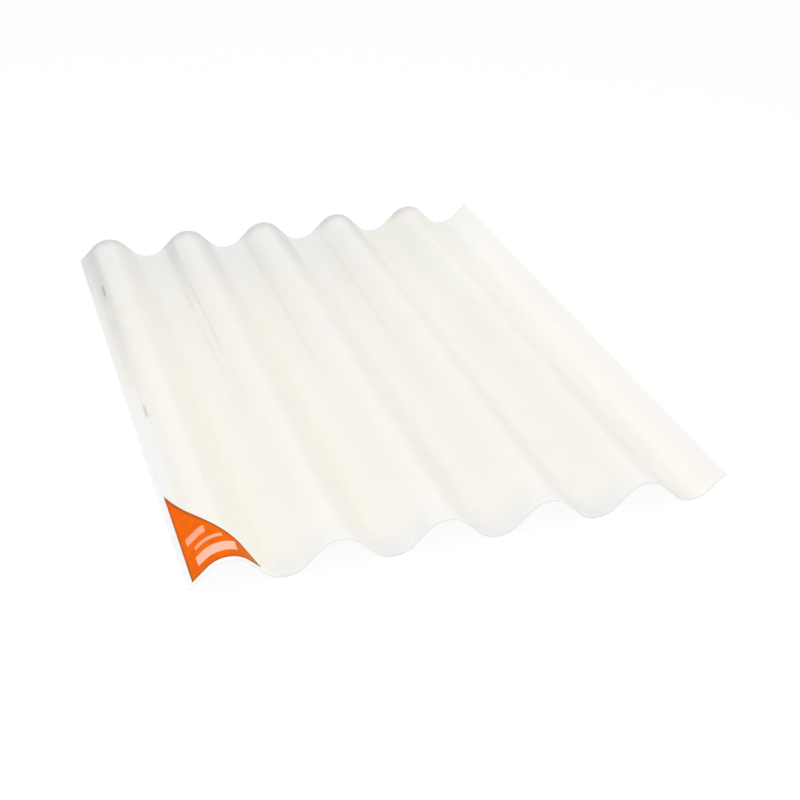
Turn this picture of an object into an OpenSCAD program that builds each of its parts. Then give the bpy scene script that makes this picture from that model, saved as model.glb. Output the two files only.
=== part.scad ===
// Corrugated roofing sheet of translucent PVC, profile 177/51.
// X runs across the waves, Y along them and Z up.
// The origin is at the middle of the sheet, level with the undersides of the valleys.

/* [Sheet] */
// Length of the sheet, along the waves
sheet_length = 1220; // [600:10:6000]
// Width of the sheet, across the waves
sheet_width = 920; // [500:1:1200]
// Thickness of the sheet
sheet_thickness = 1.5; // [0.8:0.1:3]

/* [Waves] */
// Pitch of the waves, from crest to crest
wave_pitch = 177; // [170:1:200]
// Height of the waves, from valley to crest on one face
wave_height = 51; // [30:1:55]
// Radius of the crests and valleys, at the middle of the thickness
wave_radius = 45; // [25:0.5:45.5]
// Distance from the left edge to the first crest
first_crest = 63.5; // [30:0.5:120]

/* [Corner label] */
// Length of the label, along the left edge of the sheet
label_length = 236; // [120:1:400]
// Reach of the label across the waves, measured along the surface
label_reach = 130; // [60:1:250]
// Depth to which the long side of the label is hollowed
label_hollow = 14; // [0:0.5:25]
// Thickness of the label film
label_thickness = 0.25; // [0.2:0.05:0.6]
// Margin between the label and the left edge of the sheet
label_side_margin = 8; // [1:0.5:25]
// Margin between the label and the front end of the sheet
label_front_margin = 9; // [1:0.5:60]

/* [Hidden] */
$fn = 120;

left_edge = -sheet_width / 2;
crest_1 = left_edge + first_crest;
half_pitch = wave_pitch / 2;

// A crest and a valley are arcs of one radius, and the straight flank between them is
// tangent to both. rise_between is how far a valley's centre lies above a crest's.
rise_between = 2 * wave_radius - wave_height;
between_centres = norm([half_pitch, rise_between]);
flank_angle = asin(2 * wave_radius / between_centres) - atan2(rise_between, half_pitch);

// Lengths along the surface: half a crest, a flank, and half a wave from crest to valley
half_arc = wave_radius * flank_angle * PI / 180;
flank = half_pitch * cos(flank_angle) - rise_between * sin(flank_angle);
half_wave = 2 * half_arc + flank;
// The same half of a crest, measured across
half_arc_across = wave_radius * sin(flank_angle);

// How far the regions that make up the cross-section reach down, and past each other
section_depth = 2 * wave_height;
section_overlap = 1;

// How far a point lies across the sheet from the first crest, from its distance along the
// surface, and the other way round. The first function of each pair holds for half a wave.
function half_across(along) =
    along < half_arc ? wave_radius * sin(along / wave_radius * 180 / PI)
    : along < half_arc + flank ? half_arc_across + (along - half_arc) * cos(flank_angle)
    : half_pitch - wave_radius * sin((half_wave - along) / wave_radius * 180 / PI);
function across(along) =
    let (waves = round(along / (2 * half_wave)), rest = along - 2 * waves * half_wave)
    waves * wave_pitch + sign(rest) * half_across(abs(rest));
function half_along(across) =
    across < half_arc_across ? wave_radius * asin(across / wave_radius) * PI / 180
    : across < half_pitch - half_arc_across ? half_arc + (across - half_arc_across) / cos(flank_angle)
    : half_wave - wave_radius * asin((half_pitch - across) / wave_radius) * PI / 180;
function along(across) =
    let (waves = round(across / wave_pitch), rest = across - waves * wave_pitch)
    2 * waves * half_wave + sign(rest) * half_along(abs(rest));

// Corners of the label laid flat, with X measured along the surface from the first crest
label_heel = [along(label_side_margin - first_crest), 0];
label_top = label_heel + [0, label_length];
label_toe = label_heel + [label_reach, 0];
label_steps = 16;

// A point on the hollowed long side of the label, from 0 at the top to 1 at the toe
function long_side(part) =
    let (side = label_toe - label_top, inward = [side[1], -side[0]] / norm(side))
    label_top + part * side + 4 * label_hollow * part * (1 - part) * inward;

// Where a point of the flat label comes to lie on the sheet, in plan
function in_plan(point) =
    [crest_1 + across(point[0]), point[1] + label_front_margin - sheet_length / 2];

// Everything under one wave, from the middle of a valley to the middle of the next, up to
// a level measured from the middle of the sheet's thickness. A straight-sided ridge gets
// its round crest from a circle, and a circle on each side hollows out half a valley.
module under_wave(level) {
    crest_radius = wave_radius + level;
    valley_radius = wave_radius - level;
    crest_centre = wave_height - wave_radius;
    shoulder_x = crest_radius * sin(flank_angle);
    shoulder_z = crest_centre + crest_radius * cos(flank_angle);
    foot_x = half_pitch - valley_radius * sin(flank_angle);
    foot_z = wave_radius - valley_radius * cos(flank_angle);
    side_x = half_pitch + section_overlap;
    difference() {
        union() {
            polygon([
                [-side_x, -section_depth], [side_x, -section_depth],
                [side_x, foot_z], [foot_x, foot_z],
                [shoulder_x, shoulder_z], [-shoulder_x, shoulder_z],
                [-foot_x, foot_z], [-side_x, foot_z]
            ]);
            translate([0, crest_centre])
                circle(r = crest_radius);
        }
        for (x = [-half_pitch, half_pitch])
            translate([x, wave_radius])
                circle(r = valley_radius);
    }
}

// Everything under the whole row of waves, which runs past both edges of the sheet
module under_waves(level) {
    last = ceil((sheet_width - first_crest) / wave_pitch);
    for (i = [-1 : last])
        translate([crest_1 + i * wave_pitch, 0])
            under_wave(level);
}

// A layer between two levels, as wide and as long as the sheet
module wave_layer(low, high) {
    rotate([90, 0, 0])
        linear_extrude(sheet_length, center = true)
            translate([0, sheet_thickness / 2])
                intersection() {
                    difference() {
                        under_waves(high);
                        under_waves(low);
                    }
                    translate([left_edge, -wave_height])
                        square([sheet_width, 3 * wave_height]);
                }
}

module sheet() {
    color([0.95, 0.94, 0.91])
        wave_layer(-sheet_thickness / 2, sheet_thickness / 2);
}

// The label is a thin film that lies on the upper face and drapes over the first crest.
module corner_label() {
    upper_face = sheet_thickness / 2;
    outline = [label_heel, for (i = [label_steps : -1 : 0]) long_side(i / label_steps)];
    color([0.88, 0.40, 0.13])
        intersection() {
            wave_layer(upper_face, upper_face + label_thickness);
            linear_extrude(3 * wave_height)
                polygon([for (point = outline) in_plan(point)]);
        }
}

sheet();
corner_label();
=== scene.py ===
"""The looks of the corrugated PVC roofing sheet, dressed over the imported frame.

Everything is in metres, in the row frame: X across the waves, Y along them, Z up.
"""

import math
from functools import partial, reduce
from types import SimpleNamespace

import bpy
from mathutils import Matrix, Vector, noise


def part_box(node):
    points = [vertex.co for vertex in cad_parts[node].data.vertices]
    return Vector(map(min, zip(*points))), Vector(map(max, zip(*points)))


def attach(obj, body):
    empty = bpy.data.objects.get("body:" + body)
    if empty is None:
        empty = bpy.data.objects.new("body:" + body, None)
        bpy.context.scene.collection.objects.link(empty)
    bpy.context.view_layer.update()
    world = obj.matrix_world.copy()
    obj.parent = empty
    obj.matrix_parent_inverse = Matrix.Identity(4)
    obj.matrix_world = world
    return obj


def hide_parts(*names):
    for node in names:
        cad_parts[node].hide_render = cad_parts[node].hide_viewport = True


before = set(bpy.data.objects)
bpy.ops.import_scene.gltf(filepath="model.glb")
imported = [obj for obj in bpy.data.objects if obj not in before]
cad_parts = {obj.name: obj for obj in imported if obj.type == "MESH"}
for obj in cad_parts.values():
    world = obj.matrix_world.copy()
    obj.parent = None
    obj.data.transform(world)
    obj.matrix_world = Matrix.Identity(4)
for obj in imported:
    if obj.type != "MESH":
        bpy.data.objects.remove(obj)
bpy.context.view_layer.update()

# Sizes of the real sheet that its box doesn't give
THICKNESS = 0.0015
WAVE_PITCH = 0.177
WAVE_HEIGHT = 0.051
WAVE_RADIUS = 0.045
FIRST_CREST = 0.0635

# Sizes of the label's flat film
LABEL_REACH = 0.130
LABEL_HOLLOW = 0.014
LABEL_THICKNESS = 0.00025

# How finely the meshes are cut
ARC_STEP = math.radians(4)
SHEET_ROWS = 96
LABEL_ROWS, LABEL_COLUMNS = 72, 40
OUTLINE_STEPS = 200

# The width of the eased cut edges, and the mean share by which the waves are pulled in
EASED_EDGE = 0.0003
MEAN_SWAY = 0.006

# Plain pale bars on the label: from and to upward, from and to across, and strength
LABEL_BARS = (
    (0.018, 0.040, 0.020, 0.088, 0.80),
    (0.055, 0.063, 0.024, 0.072, 0.58),
    (0.078, 0.096, 0.012, 0.050, 0.55),
)

# Lines along the waves, partly left by the forming tool and partly painted shade on the left flanks:
# x, half width and strength
TOOL_LINES_AND_SHADE = (
    (-0.445, 0.0018, 0.45), (-0.437, 0.0016, 0.50),
    (-0.270, 0.0018, 0.50), (-0.257, 0.0022, 0.60),
    (-0.090, 0.0026, 0.40), (0.087, 0.0024, 0.30), (0.266, 0.0020, 0.10),
)

# Strokes of ink: how far they are from the left edge; from y, to y, half width and strength
INK_INSET = 0.0225
INK_STROKES = (
    (0.374, 0.420, 0.0019, 0.66),
    (-0.130, -0.090, 0.0017, 0.50),
    (-0.130, 0.420, 0.0006, 0.08),
)

# How far the painted shade on the flanks reaches from the back end, and how far the tool's lines
# wander
FLANK_SHADE_REACH = 0.380
WANDER = 0.006

# The camera: its lens in millimetres, its place, and its angles in degrees
CAMERA_LENS = 60.863
CAMERA_PLACE = (-0.7096, -2.2197, 1.3074)
CAMERA_YAW, CAMERA_DOWN, CAMERA_ROLL = -19.793, 30.795, 1.642

# The light that the world gives, and how bright the floor shows to the camera
WORLD_LIGHT = 0.665
FLOOR_GLOW = 0.92
FLOOR_HALF = 20.0


def srgb(red, green, blue):
    """A colour written as it shows, from 0 to 255, in the linear values that shaders take."""
    linear = [((c / 255 + 0.055) / 1.055) ** 2.4 for c in (red, green, blue)]
    return (*linear, 1.0)


# Colours of the milky sheet, and of the light and shade painted on it
MILKY, MILKY_DIM = srgb(248, 243, 235), srgb(244, 240, 231)
WARM_PATCH, COOL_PATCH = srgb(245, 239, 229), srgb(241, 239, 236)
DRAWN_LINES = srgb(236, 233, 226)
# Painted light on the lap edges
LAP_LIGHT, LAP_LIGHT_WARM = srgb(254, 252, 246), srgb(254, 250, 239)
# Painted shade on the back left, and on the rim of the upturned edge
BACK_LEFT_SHADE = srgb(238, 242, 245)
UPTURNED_SHADE_FRONT, UPTURNED_SHADE_BACK = srgb(235, 234, 233), srgb(243, 242, 241)
# Painted shade on the right flanks, and painted light on them and on the back right
RIGHT_FLANK_SHADE = srgb(243, 242, 223)
RIGHT_FLANK_LIGHT, BACK_RIGHT_LIGHT_WARM = srgb(254, 248, 236), srgb(254, 246, 235)
SCRATCHED = srgb(252, 251, 248)

# Colours of the marks on it, and of the shade painted on it
# Painted shade along the crests' right shoulders
SHOULDER_SHADE = srgb(233, 229, 219)
# Partly tool lines, partly painted shade
TOOL_LINE_AND_SHADE = srgb(224, 222, 214)
# Painted shade on the flanks toward the back, and on the left lap edge
BACK_FLANK_SHADE, LAP_SHADE = srgb(208, 212, 213), srgb(206, 209, 206)
# Painted shade along the front and back ends
FRONT_SHADE_SOFT, FRONT_SHADE_DEEP = srgb(236, 235, 234), srgb(229, 231, 231)
BACK_SHADE, BACK_RIM_SHADE = srgb(214, 215, 218), srgb(202, 202, 207)
# Partly the cut edges' own grey, partly painted shade
CUT_EDGE_AND_SHADE = srgb(202, 204, 200)
WORN_INK = srgb(140, 143, 138)
PINK_CHALK = srgb(234, 190, 202)
DUST = srgb(214, 210, 198)

# Colours of the label
ORANGE_BRIGHT, ORANGE_DIM = srgb(246, 107, 2), srgb(231, 101, 8)
ORANGE_TOP, ORANGE_TOE = srgb(243, 99, 0), srgb(224, 102, 22)
BAR = srgb(254, 209, 184)
BORDER, TRIM = srgb(126, 78, 38), srgb(136, 82, 42)
GREY_BROWN_TOE = srgb(160, 130, 106)

# Places on the sheet, taken from the frame
sheet_low, sheet_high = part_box("sheet")
label_low, label_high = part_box("corner_label")
left_edge, right_edge = sheet_low.x, sheet_high.x
front_end, back_end = sheet_low.y, sheet_high.y
crest_1 = left_edge + FIRST_CREST
mid_height = (WAVE_HEIGHT + THICKNESS) / 2

# A crest and a valley are arcs of one radius, and the flank between them is tangent to both
half_pitch = WAVE_PITCH / 2
rise_between = 2 * WAVE_RADIUS - WAVE_HEIGHT
between_centres = math.hypot(half_pitch, rise_between)
flank_angle = math.asin(2 * WAVE_RADIUS / between_centres) - math.atan2(rise_between, half_pitch)
half_arc = WAVE_RADIUS * flank_angle
half_arc_across = WAVE_RADIUS * math.sin(flank_angle)
flank = half_pitch * math.cos(flank_angle) - rise_between * math.sin(flank_angle)
half_wave = 2 * half_arc + flank


# ---------------------------------------------------------------- the waves

def middle_point(along):
    """(x, z, lean) in mid-thickness, at a distance along the surface from crest 1.

    The lean is the angle by which the surface's normal leans to +X.
    """
    waves = round(along / (2 * half_wave))
    rest = along - 2 * waves * half_wave
    side = 1 if rest >= 0 else -1
    rest = abs(rest)
    crest_centre = WAVE_HEIGHT - WAVE_RADIUS
    if rest < half_arc:
        lean = rest / WAVE_RADIUS
        across = WAVE_RADIUS * math.sin(lean)
        height = crest_centre + WAVE_RADIUS * math.cos(lean)
    elif rest < half_arc + flank:
        lean = flank_angle
        down = rest - half_arc
        across = half_arc_across + down * math.cos(lean)
        height = crest_centre + WAVE_RADIUS * math.cos(lean) - down * math.sin(lean)
    else:
        lean = (half_wave - rest) / WAVE_RADIUS
        across = half_pitch - WAVE_RADIUS * math.sin(lean)
        height = WAVE_RADIUS - WAVE_RADIUS * math.cos(lean)
    return crest_1 + waves * WAVE_PITCH + side * across, height + THICKNESS / 2, side * lean


def on_surface(along, level):
    """(x, z) at a level above the middle of the thickness."""
    x, z, lean = middle_point(along)
    return x + level * math.sin(lean), z + level * math.cos(lean)


def along_at(x, level):
    """The distance along the surface at which the face at this level stands at x."""
    waves = math.ceil((right_edge - left_edge) / WAVE_PITCH) + 1
    low, high = -half_wave, waves * 2 * half_wave
    halvings = 60
    for _ in range(halvings):
        middle = (low + high) / 2
        if on_surface(middle, level)[0] < x:
            low = middle
        else:
            high = middle
    return low


def sway(x, y):
    """How far the sheet's waves are pulled in at a place, as a share of their height."""
    return MEAN_SWAY * (1 + noise.noise(Vector((2.1 * x, 1.7 * y, 3.0))))


def placed(along, y, level):
    """A point on the sheet as it really lies, with its slight unevenness."""
    x, z = on_surface(along, level)
    return Vector((x, y, mid_height + (z - mid_height) * (1 - sway(x, y))))


# ---------------------------------------------------------------- meshes

def new_piece(name, points, faces, material):
    """A smooth mesh object of one material."""
    mesh = bpy.data.meshes.new(name)
    mesh.from_pydata(points, [], faces)
    mesh.validate()
    mesh.materials.append(material)
    piece = bpy.data.objects.new(name, mesh)
    bpy.context.scene.collection.objects.link(piece)
    for polygon in mesh.polygons:
        polygon.use_smooth = True
    return piece


def closed_shell(upper, lower):
    """Points and faces of a solid between two grids of points of one size."""
    rows, columns = len(upper), len(upper[0])
    points = [p for row in upper for p in row] + [p for row in lower for p in row]
    under = rows * columns

    def at(row, column, base=0):
        return base + row * columns + column

    faces = []
    for r in range(rows - 1):
        for c in range(columns - 1):
            corners = (r, c), (r, c + 1), (r + 1, c + 1), (r + 1, c)
            faces.append(tuple(at(*corner) for corner in corners))
            faces.append(tuple(at(*corner, under) for corner in reversed(corners)))
    rim = [(0, c) for c in range(columns)]
    rim += [(r, columns - 1) for r in range(1, rows)]
    rim += [(rows - 1, c) for c in range(columns - 2, -1, -1)]
    rim += [(r, 0) for r in range(rows - 2, 0, -1)]
    for here, after in zip(rim, rim[1:] + rim[:1]):
        faces.append((at(*here), at(*here, under), at(*after, under), at(*after)))
    return points, faces


def sheet_stations():
    """Distances along the surface, evenly spaced, from just inside one edge to the other."""
    step = ARC_STEP * WAVE_RADIUS
    inset = 2 * THICKNESS
    first, last = along_at(left_edge, 0) + inset, along_at(right_edge, 0) - inset
    count = round((last - first) / step)
    return [first + (last - first) * i / count for i in range(count + 1)]


def make_sheet(material):
    stations = sheet_stations()
    lengthwise = [
        front_end + (back_end - front_end) * row / SHEET_ROWS for row in range(SHEET_ROWS + 1)
    ]
    grids = []
    for level in (THICKNESS / 2, -THICKNESS / 2):
        line = [along_at(left_edge, level), *stations, along_at(right_edge, level)]
        grids.append([[placed(s, y, level) for s in line] for y in lengthwise])
    points, faces = closed_shell(*grids)
    piece = new_piece("pvc_sheet", points, faces, material)
    bevel = piece.modifiers.new("eased_cut_edges", "BEVEL")
    bevel.width = EASED_EDGE
    bevel.segments = 2
    bevel.limit_method = "ANGLE"
    bevel.angle_limit = math.radians(50)
    return piece


label_length = label_high.y - label_low.y
label_heel = along_at(label_low.x, THICKNESS / 2)


def long_side(part):
    """The hollowed long side of the flat label, from 0 at the top to 1 at the toe."""
    top, toe = Vector((0, label_length)), Vector((LABEL_REACH, 0))
    side = toe - top
    inward = Vector((side.y, -side.x)).normalized()
    return top + part * side + 4 * LABEL_HOLLOW * part * (1 - part) * inward


def make_label(material):
    """The label, draped over the waves, which keeps its flat place for its material."""
    narrowest_row = 0.0002
    flat = []
    for r in range(LABEL_ROWS + 1):
        end = long_side(r / LABEL_ROWS)
        reach = max(end.x, narrowest_row)
        row = [(reach * c / LABEL_COLUMNS, end.y) for c in range(LABEL_COLUMNS + 1)]
        flat.append(row[::-1])
    grids = []
    for level in (THICKNESS / 2 + LABEL_THICKNESS, THICKNESS / 2):
        grids.append([
            [placed(label_heel + u, label_low.y + v, level) for u, v in row] for row in flat
        ])
    points, faces = closed_shell(*grids)
    piece = new_piece("label_film", points, faces, material)
    places = [place for _ in grids for row in flat for place in row]
    outline = [long_side(i / OUTLINE_STEPS) for i in range(OUTLINE_STEPS + 1)]
    at = piece.data.attributes.new("flat_place", "FLOAT_VECTOR", "POINT")
    for i, (u, v) in enumerate(places):
        to_long_side = min(math.hypot(u - p.x, v - p.y) for p in outline)
        at.data[i].vector = (u, v, to_long_side)
    return piece


# ---------------------------------------------------------------- materials

class Nodes:
    """Short ways to add and join the nodes of a material or world, and to paint a colour."""

    def __init__(self, owner, cleared=False):
        owner.use_nodes = True
        self.owner = owner
        self.tree = owner.node_tree
        self.colour = None
        if cleared:
            self.tree.nodes.clear()

    def join(self, source, socket):
        if isinstance(source, bpy.types.NodeSocket):
            self.tree.links.new(source, socket)
        else:
            socket.default_value = source

    def add(self, kind, settings=None, **inputs):
        node = self.tree.nodes.new("ShaderNode" + kind)
        for key, value in (settings or {}).items():
            setattr(node, key, value)
        for key, value in inputs.items():
            self.join(value, node.inputs[key.replace("_", " ")])
        return node

    def math(self, operation, *values):
        node = self.add("Math", {"operation": operation})
        for value, socket in zip(values, node.inputs):
            self.join(value, socket)
        return node.outputs[0]

    def over(self, operation, values):
        """One operation over two or more values, from left to right."""
        return reduce(partial(self.math, operation), values)

    def plus(self, *values):
        return self.over("ADD", values)

    def minus(self, value, less):
        return self.math("SUBTRACT", value, less)

    def times(self, *values):
        return self.over("MULTIPLY", values)

    def least(self, *values):
        return self.over("MINIMUM", values)

    def most(self, *values):
        return self.over("MAXIMUM", values)

    def mix_shaders(self, share, first, second):
        node = self.add("MixShader")
        for value, socket in zip((share, first, second), node.inputs):
            self.join(value, socket)
        return node.outputs[0]

    def add_shaders(self, first, second):
        node = self.add("AddShader")
        self.join(first, node.inputs[0])
        self.join(second, node.inputs[1])
        return node.outputs[0]

    def mix(self, share, first, second):
        node = self.add("Mix", {"data_type": "RGBA"})
        self.join(share, node.inputs[0])
        self.join(first, node.inputs[6])
        self.join(second, node.inputs[7])
        return node.outputs[2]

    def paint(self, share, tone):
        """Lays a share of a tone over the colour so far."""
        self.colour = self.mix(share, self.colour, tone)

    def stretched(self, vector, scale):
        node = self.add("Mapping", Vector=vector)
        node.inputs["Scale"].default_value = scale
        return node.outputs[0]

    def turned(self, vector, angle):
        """The place turned about Z, so that stretched noise runs askew."""
        node = self.add("Mapping", Vector=vector)
        node.inputs["Rotation"].default_value = (0.0, 0.0, angle)
        return node.outputs[0]

    def noise(self, vector, scale, detail=2.0):
        node = self.add("TexNoise", Vector=vector, Scale=scale, Detail=detail)
        return node.outputs["Fac"]

    def rising(self, value, start, end):
        """Smoothly from 0 where the value is at the start to 1 where it is at the end."""
        node = self.add("MapRange", {"interpolation_type": "SMOOTHSTEP"}, Value=value)
        node.inputs["From Min"].default_value = start
        node.inputs["From Max"].default_value = end
        return node.outputs[0]

    def between(self, value, low, high, soft):
        """1 where the value lies between two bounds, with soft borders."""
        above = self.rising(value, low - soft, low + soft)
        below = self.rising(value, high + soft, high - soft)
        return self.times(above, below)

    def wave(self, across, centre):
        """1 at a line and at one of each pitch beside it, and 0 midway between them."""
        turns = self.times(self.minus(across, centre), 2 * math.pi / WAVE_PITCH)
        return self.times(self.plus(self.math("COSINE", turns), 1.0), 0.5)

    def past_crest(self, across):
        """How far a place lies to the right of the nearest crest on its left."""
        return self.math("MODULO", self.minus(across, crest_1 - WAVE_PITCH), WAVE_PITCH)

    def bump(self, height, strength, distance):
        node = self.add("Bump", Height=height)
        node.inputs["Strength"].default_value = strength
        node.inputs["Distance"].default_value = distance
        return node.outputs[0]

    def dressed(self, **inputs):
        """The material, with its colour and these inputs set, where _ stands for a space."""
        shader = self.tree.nodes["Principled BSDF"]
        for key, value in {"Base_Color": self.colour, **inputs}.items():
            self.join(value, shader.inputs[key.replace("_", " ")])
        return self.owner


def sheet_fields(n):
    """The places, distances and noises that the paint of the sheet is drawn from.

    Across and along are measured from the middle of the sheet, and to_left and its like
    from the edge that they name.
    """
    place = n.add("TexCoord").outputs["Object"]
    across, along, height = n.add("SeparateXYZ", Vector=place).outputs
    to_front, to_back = n.minus(along, front_end), n.minus(back_end, along)
    to_left, to_right = n.minus(across, left_edge), n.minus(right_edge, across)
    wander = n.times(n.noise(n.stretched(place, (6, 9, 6)), 1.0, 2.0), WANDER)
    askew = n.stretched(n.turned(place, 0.7), (900, 14, 200))
    return SimpleNamespace(
        place=place, across=across, along=along, height=height,
        to_left=to_left, to_right=to_right, to_front=to_front, to_back=to_back,
        to_end=n.least(to_front, to_back), to_side=n.least(to_left, to_right),
        past_crest=n.past_crest(across),
        wandered=n.plus(across, n.minus(wander, WANDER / 2)),
        clouds=n.noise(n.stretched(place, (8, 3, 8)), 1.0, 3.0),
        patches=n.noise(n.stretched(place, (17, 9, 17)), 1.0, 2.0),
        lines=n.noise(n.stretched(place, (260, 1.2, 260)), 1.0, 2.0),
        broken=n.noise(n.stretched(place, (40, 7, 40)), 1.0, 3.0),
        grain=n.noise(place, 420.0, 2.0),
        scratch=n.rising(n.noise(askew, 1.0, 1.0), 0.70, 0.78),
    )


def paint_body(n, f):
    """Soft clouds, faint warm and cool patches, and fine lines drawn along the waves."""
    n.colour = n.mix(f.clouds, MILKY, MILKY_DIM)
    n.paint(n.rising(f.patches, 0.45, 0.80), WARM_PATCH)
    n.paint(n.rising(f.patches, 0.50, 0.15), COOL_PATCH)
    n.paint(n.times(f.lines, 0.25), DRAWN_LINES)


def paint_lap_edge_light_and_shade(n, f):
    """Painted light makes the lap edges paler: the left one at the front,
    and the right one most at the back.

    Painted shade greys the back on the left, and the rim of the upturned edge.
    """
    left_front = n.times(n.rising(f.to_left, 0.030, 0.010), n.rising(f.along, 0.10, -0.25))
    corner = n.times(n.rising(f.to_left, 0.135, 0.115), n.rising(f.to_front, 0.030, 0.010))
    # Painted light: the left lap edge at the front and the front left corner are paler
    n.paint(n.most(left_front, corner), LAP_LIGHT)
    # Painted light on the right lap edge, most at the back
    more_at_back = n.plus(n.times(n.rising(f.along, 0.10, 0.50), 0.50), 0.45)
    n.paint(n.times(n.rising(f.to_right, 0.125, 0.065), more_at_back), LAP_LIGHT_WARM)

    # Painted shade greys the back on the left
    back_left = n.times(n.rising(f.to_back, 0.36, 0.01), n.rising(f.across, 0.30, 0.10))
    n.paint(n.times(back_left, 0.30), BACK_LEFT_SHADE)
    # Painted shade on the rim of the upturned edge, most at the front
    upturned = n.mix(n.rising(f.along, 0.10, 0.50), UPTURNED_SHADE_FRONT, UPTURNED_SHADE_BACK)
    n.paint(n.times(n.rising(f.to_right, 0.052, 0.012), 0.90), upturned)


def paint_flank_light_and_shade(n, f):
    """Painted shade makes the right flanks darker and yellower on the left of the sheet,
    and painted light makes them paler on the right.

    Painted light also makes the back right of the sheet paler as a whole, and warmer in its middle.
    """
    right_flank = n.between(f.past_crest, 0.022, 0.088, 0.010)
    on_left = n.times(n.rising(f.across, 0.05, -0.12), n.rising(f.to_back, 0.20, 0.50))
    # Painted shade, a little yellow, on the right flanks on the left of the sheet
    n.paint(n.times(right_flank, on_left, 0.28), RIGHT_FLANK_SHADE)

    # Painted light on the right flanks on the right of the sheet, and on the back right
    lightened = n.times(right_flank, n.rising(f.across, 0.08, 0.34), 0.75)
    on_right = n.times(n.rising(f.across, 0.17, 0.27), n.rising(f.to_right, 0.035, 0.065))
    back_right = n.times(on_right, n.rising(f.along, 0.02, 0.28), 0.50)
    n.paint(n.most(lightened, back_right), RIGHT_FLANK_LIGHT)
    # Painted light, warmer, in the middle of the back right
    n.paint(n.times(on_right, n.between(f.along, 0.15, 0.44, 0.12), 0.45), BACK_RIGHT_LIGHT_WARM)


def paint_shoulder_shade(n, f):
    """Painted shade in a faint line down the right shoulder of each crest, sharp on the crest's
    side.

    It fades toward the right, but on the last crest it is stronger and starts sooner.
    """
    last_crest = n.rising(f.across, 0.240, 0.290)
    past_crest = n.past_crest(n.plus(f.across, n.times(last_crest, 0.009)))
    line = n.times(n.rising(past_crest, 0.002, 0.014), n.rising(past_crest, 0.042, 0.016))
    strength = n.plus(n.times(f.across, -0.35), 0.32, n.times(last_crest, 0.28))
    # Painted shade along each crest's right shoulder
    n.paint(n.times(line, n.rising(f.broken, 0.10, 0.50), strength), SHOULDER_SHADE)


def paint_tool_lines_and_shade(n, f):
    """A few stronger lines along the waves, partly left by the forming tool and partly painted shade
    on the left flanks, fading toward the front.
    """
    fading = n.times(n.rising(f.broken, 0.30, 0.65), n.rising(f.along, -0.30, 0.30))
    for x, half_width, strength in TOOL_LINES_AND_SHADE:
        line = n.between(f.wandered, x - half_width, x + half_width, half_width)
        # Partly tool lines and partly painted shade on the left flanks
        n.paint(n.times(line, fading, strength), TOOL_LINE_AND_SHADE)


def paint_back_flank_shade(n, f):
    """Painted shade on the flanks, growing toward the back.

    Returns how strong this painted shade is at each place, which also makes it rougher.
    """
    right_flank = n.between(f.past_crest, 0.014, 0.056, 0.013)
    right_flank = n.times(right_flank, n.between(f.across, -0.345, 0.320, 0.120))
    left_flank = n.between(f.past_crest, 0.124, 0.142, 0.010)
    left_flank = n.times(left_flank, n.rising(f.across, 0.16, -0.30))
    growing = n.rising(f.to_back, FLANK_SHADE_REACH, 0.0)
    flank_shade = n.times(n.most(right_flank, left_flank), growing, n.rising(f.clouds, 0.15, 0.60))
    # Painted shade on the flanks, growing toward the back
    n.paint(n.times(flank_shade, 0.76), BACK_FLANK_SHADE)
    return flank_shade


def paint_left_lap_shade(n, f):
    """Painted shade greys the left lap edge over its back half: in a band, and then all over."""
    band = n.times(n.between(f.to_left, 0.013, 0.033, 0.009), 0.48)
    all_over = n.times(n.rising(f.to_left, 0.038, 0.022), n.rising(f.to_back, 0.23, 0.11), 0.36)
    # The painted shade grows toward the back and is broken up
    worn = n.times(n.rising(f.along, -0.08, 0.26), n.rising(f.broken, 0.10, 0.55))
    n.paint(n.times(n.most(band, all_over), worn), LAP_SHADE)


def paint_end_shade(n, f):
    """Painted shade along the cut ends.

    At the front it is deepest low on the waves, and at the back it lies on the crests.
    """
    low_on_wave = n.rising(n.wave(f.across, crest_1 + half_pitch + 0.020), 0.30, 0.90)
    deeper = n.times(low_on_wave, n.rising(f.patches, 0.25, 0.60))
    front_shade = n.mix(deeper, FRONT_SHADE_SOFT, FRONT_SHADE_DEEP)
    front = n.times(n.between(f.across, -0.325, 0.395, 0.020), n.rising(f.to_front, 0.085, 0.006))
    # Painted shade along the front end, deepest low on the waves
    n.paint(n.times(front, 0.90), front_shade)

    back = n.times(n.rising(f.to_back, 0.060, 0.0), n.rising(f.height, 0.012, 0.045))
    # Painted shade on the crests at the back end
    n.paint(n.times(back, n.rising(f.across, 0.38, 0.28), 0.50), BACK_SHADE)
    rim = n.times(n.rising(f.to_back, 0.030, 0.008), n.rising(f.height, 0.014, 0.044))
    # Painted shade along the back rim, on the crests
    n.paint(n.times(rim, n.rising(f.across, 0.40, 0.30), 0.45), BACK_RIM_SHADE)


def paint_cut_edges(n, f):
    """The cut edges are greyer than the faces, most at the ends: partly their own grey and partly
    painted shade.
    """
    cut_end = n.times(n.rising(f.to_end, 0.0050, 0.0), 0.40)
    cut_side = n.times(n.rising(f.to_side, 0.0022, 0.0), 0.15)
    # Partly the cut edges' own grey, partly painted shade on the rim
    n.paint(n.most(cut_end, cut_side), CUT_EDGE_AND_SHADE)


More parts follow.
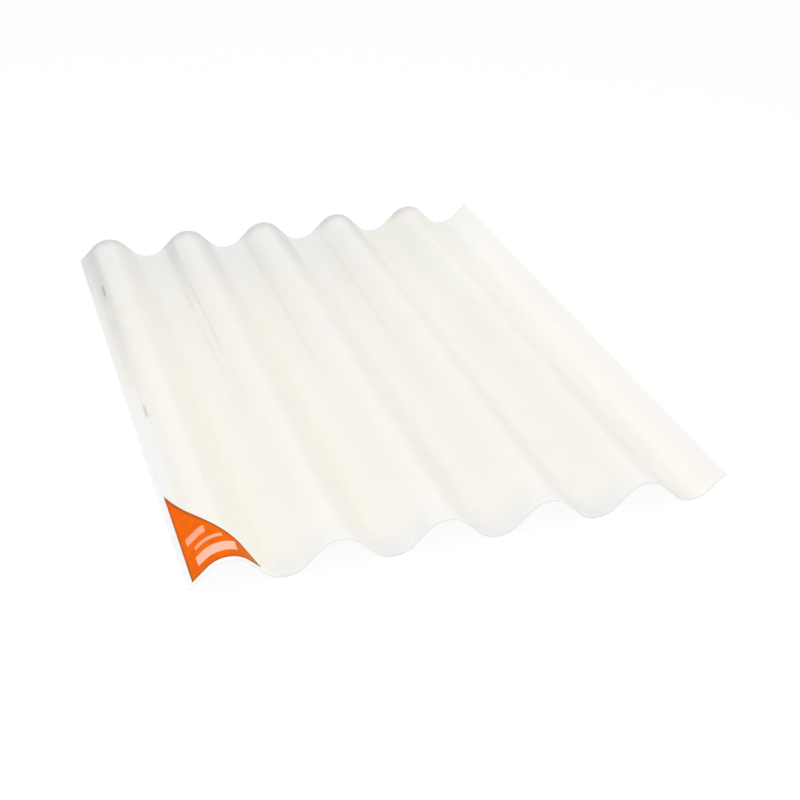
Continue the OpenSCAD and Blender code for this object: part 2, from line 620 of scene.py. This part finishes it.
def paint_ink_and_chalk(n, f):
    """Two short ink dashes by the left edge, joined by a line that has nearly worn off.

    There is also a faint smear of pink chalk in the back left corner.
    """
    strokes = []
    for start, end, half_width, strength in INK_STROKES:
        stroke = n.between(f.to_left, INK_INSET - half_width, INK_INSET + half_width, half_width)
        strokes.append(n.times(stroke, n.between(f.along, start, end, 0.005), strength))
    n.paint(n.times(n.most(*strokes), n.rising(f.grain, 0.25, 0.5)), WORN_INK)

    smear = n.between(f.wandered, left_edge + 0.008, left_edge + 0.022, 0.010)
    smear = n.times(smear, n.between(f.to_back, 0.020, 0.050, 0.016))
    powder = n.rising(n.noise(f.place, 150.0, 3.0), 0.30, 0.65)
    n.paint(n.times(smear, powder, 0.5), PINK_CHALK)


def paint_wear(n, f):
    """Fine scratches and dust, which only show close up."""
    n.paint(n.times(f.scratch, 0.25), SCRATCHED)
    dust = n.rising(n.noise(f.place, 900.0, 1.0), 0.74, 0.80)
    n.paint(n.times(dust, 0.35), DUST)


def pvc_material():
    """Milky PVC that lets some light in, with its marks and wear, and with painted light and shade
    on its edges, ends and flanks.
    """
    n = Nodes(bpy.data.materials.new("milky_pvc"))
    f = sheet_fields(n)
    paint_body(n, f)
    paint_lap_edge_light_and_shade(n, f)
    paint_flank_light_and_shade(n, f)
    paint_shoulder_shade(n, f)
    paint_tool_lines_and_shade(n, f)
    flank_shade = paint_back_flank_shade(n, f)
    paint_left_lap_shade(n, f)
    paint_end_shade(n, f)
    paint_cut_edges(n, f)
    paint_ink_and_chalk(n, f)
    paint_wear(n, f)
    # The flanks' painted shade also raises the roughness there
    rough = n.plus(
        n.times(f.clouds, 0.14), 0.42, n.times(flank_shade, 0.15), n.times(f.scratch, 0.10)
    )
    relief = n.plus(n.times(f.lines, 0.6), n.times(f.grain, 0.4))
    relief = n.minus(relief, n.times(f.scratch, 0.3))
    return n.dressed(
        Roughness=rough, Specular_IOR_Level=0.28, Normal=n.bump(relief, 0.25, 0.0002),
        Subsurface_Weight=1.0, Subsurface_Radius=(1.0, 0.97, 0.90), Subsurface_Scale=0.002,
    )


def paint_bars(n, across, up, grain):
    """Plain pale bars, which say nothing, where such a label has its print."""
    soft = 0.0008
    thin = n.rising(grain, 0.20, 0.45)
    for low, high, start, end, strength in LABEL_BARS:
        bar = n.times(n.between(up, low, high, soft), n.between(across, start, end, soft))
        n.paint(n.times(bar, thin, strength), BAR)


def label_material():
    """Blotchy orange film with pale bars and a soft brown border on all three sides."""
    n = Nodes(bpy.data.materials.new("printed_label_film"))
    place = n.add("Attribute", {"attribute_name": "flat_place"}).outputs["Vector"]
    across, up, to_long_side = n.add("SeparateXYZ", Vector=place).outputs
    film = n.noise(place, 40.0, 3.0)
    n.colour = n.mix(n.rising(film, 0.35, 0.65), ORANGE_BRIGHT, ORANGE_DIM)
    n.paint(n.rising(up, 0.05, label_length), ORANGE_TOP)
    n.paint(n.times(n.rising(across, 0.040, 0.105), 0.6), ORANGE_TOE)
    paint_bars(n, across, up, n.noise(place, 700.0, 2.0))
    n.paint(n.times(n.rising(to_long_side, 0.0060, 0.0020), 0.60), BORDER)
    n.paint(n.times(n.rising(n.least(across, up), 0.0055, 0.0018), 0.45), TRIM)
    # The label turns grey-brown toward its toe
    toe = n.rising(across, LABEL_REACH - 0.026, LABEL_REACH - 0.006)
    n.paint(n.times(toe, 0.75), GREY_BROWN_TOE)
    return n.dressed(
        Roughness=n.plus(n.times(film, 0.16), 0.36), Specular_IOR_Level=0.02,
        Normal=n.bump(film, 0.3, 0.0005),
    )


# ---------------------------------------------------------------- camera, floor and lights

def make_camera():
    data = bpy.data.cameras.new("camera")
    data.lens = CAMERA_LENS
    data.sensor_width = 36
    data.clip_start, data.clip_end = 0.05, 100
    camera = bpy.data.objects.new("camera", data)
    bpy.context.scene.collection.objects.link(camera)
    yaw, pitch, roll = map(math.radians, (CAMERA_YAW, 90 - CAMERA_DOWN, CAMERA_ROLL))
    turn = Matrix.Rotation(yaw, 4, "Z") @ Matrix.Rotation(pitch, 4, "X")
    turn = turn @ Matrix.Rotation(roll, 4, "Z")
    camera.matrix_world = Matrix.Translation(CAMERA_PLACE) @ turn
    bpy.context.scene.camera = camera


def shown_as(n, output, seen, hidden):
    """Shows one shader to the camera, mirrors and glass, and another to soft light."""
    rays = n.add("LightPath").outputs
    sharp = n.most(
        rays["Is Camera Ray"], rays["Is Glossy Ray"], rays["Is Transmission Ray"]
    )
    n.join(n.mix_shaders(sharp, hidden, seen), n.add(output).inputs["Surface"])


def floor_material():
    """Pale paint with a faint shadow, which is clear when seen from below."""
    n = Nodes(bpy.data.materials.new("pale_floor"), cleared=True)
    paint = n.add("BsdfDiffuse", Color=srgb(240, 240, 240)).outputs[0]
    faint = n.add("BsdfDiffuse", Color=(0.10, 0.10, 0.10, 1.0)).outputs[0]
    glow = n.add("Emission", Strength=FLOOR_GLOW).outputs[0]
    clear = n.add("BsdfTransparent").outputs[0]
    from_below = n.add("NewGeometry").outputs["Backfacing"]
    seen = n.mix_shaders(from_below, n.add_shaders(faint, glow), clear)
    shown_as(n, "OutputMaterial", seen, paint)
    return n.owner


def make_floor():
    corners = [
        (x * FLOOR_HALF, y * FLOOR_HALF, 0) for x, y in ((-1, -1), (1, -1), (1, 1), (-1, 1))
    ]
    mesh = bpy.data.meshes.new("floor")
    mesh.from_pydata(corners, [], [(0, 1, 2, 3)])
    mesh.materials.append(floor_material())
    floor = bpy.data.objects.new("floor", mesh)
    bpy.context.scene.collection.objects.link(floor)


def make_world():
    """A white world, which lights the object more softly than it shows."""
    world = bpy.data.worlds.new("studio")
    bpy.context.scene.world = world
    n = Nodes(world, cleared=True)
    white = n.add("Background", Color=(1.0, 1.0, 1.0, 1.0)).outputs[0]
    soft = n.add("Background", Color=(1.0, 1.0, 1.0, 1.0), Strength=WORLD_LIGHT).outputs[0]
    shown_as(n, "OutputWorld", white, soft)


def make_lamp(name, place, target, size, power, colour=(1, 1, 1)):
    data = bpy.data.lights.new(name, "AREA")
    data.shape = "RECTANGLE"
    data.size, data.size_y = size
    data.energy = power
    data.color = colour
    lamp = bpy.data.objects.new(name, data)
    bpy.context.scene.collection.objects.link(lamp)
    aim = (Vector(target) - Vector(place)).to_track_quat("-Z", "Y")
    lamp.matrix_world = Matrix.Translation(place) @ aim.to_matrix().to_4x4()


def make_lamps():
    """Large soft lamps over and before the sheet, and weaker ones to its right and far end."""
    make_lamp("overhead_left", (-1.6, 0.2, 2.0), (0.0, 0.1, 0.0), (1.6, 1.2), 9.0, (0.92, 0.94, 1.0))
    make_lamp("overhead_box", (0.0, -0.1, 0.8), (0.0, -0.1, 0.0), (2.4, 1.0), 2.3, (1.0, 0.95, 0.88))
    make_lamp("front_box", (0.0, -1.5, 0.6), (0.0, -0.4, 0.0), (1.6, 0.7), 4.2)
    make_lamp("left_box", (-1.3, -0.7, 0.7), (0.0, -0.4, 0.0), (1.2, 0.7), 1.4)
    make_lamp("right_strip", (1.2, 0.3, 1.0), (0.3, 0.2, 0.0), (0.3, 1.4), 2.1)
    make_lamp("right_box", (1.5, 0.0, 0.6), (0.3, 0.0, 0.0), (1.2, 0.5), 0.5)
    make_lamp("far_right_box", (1.0, 0.6, 0.6), (0.4, 0.4, 0.0), (0.3, 0.6), 0.2, (1.0, 0.90, 0.80))
    make_lamp("far_top", (0.3, 0.9, 1.3), (0.2, 0.7, 0.0), (1.4, 0.6), 1.1, (0.82, 0.93, 1.0))


make_camera()
make_floor()
make_world()
make_lamps()

sheet = make_sheet(pvc_material())
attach(sheet, "root")
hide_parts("sheet")

label = make_label(label_material())
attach(label, "root")
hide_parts("corner_label")

bpy.context.scene.view_settings.view_transform = "Standard"
